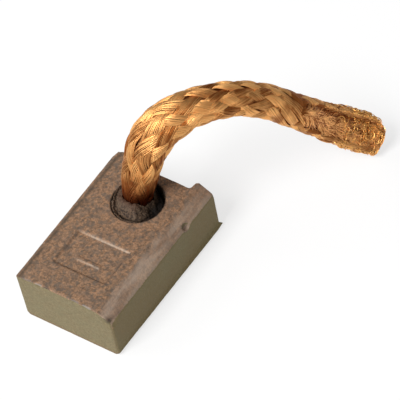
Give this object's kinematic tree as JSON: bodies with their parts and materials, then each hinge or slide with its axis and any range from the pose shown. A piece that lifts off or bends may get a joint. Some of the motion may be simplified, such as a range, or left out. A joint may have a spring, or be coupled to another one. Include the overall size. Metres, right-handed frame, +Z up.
{
  "type": "carbon brush",
  "caption": "Copper-graphite motor brush: a rectangular block with one wide bevelled edge, a notched spring end and a braided copper shunt tamped into its top.",
  "frame": {"origin": "middle of the plain long side that the block lies on", "axes": "+Z up through the pressed face that the shunt comes out of, +Y from the contact face towards the spring end, +X towards the side with the wide bevel"},
  "size_m": [0.0187, 0.0319, 0.0153],
  "materials": {
    "copper_graphite": "matte",
    "tamping_powder": "matte",
    "copper_braid": "satin"
  },
  "bodies": {
    "root": {"brush_block": "copper_graphite", "tamped_powder": "tamping_powder", "copper_shunt": "copper_braid"}
  },
  "joints": []
}
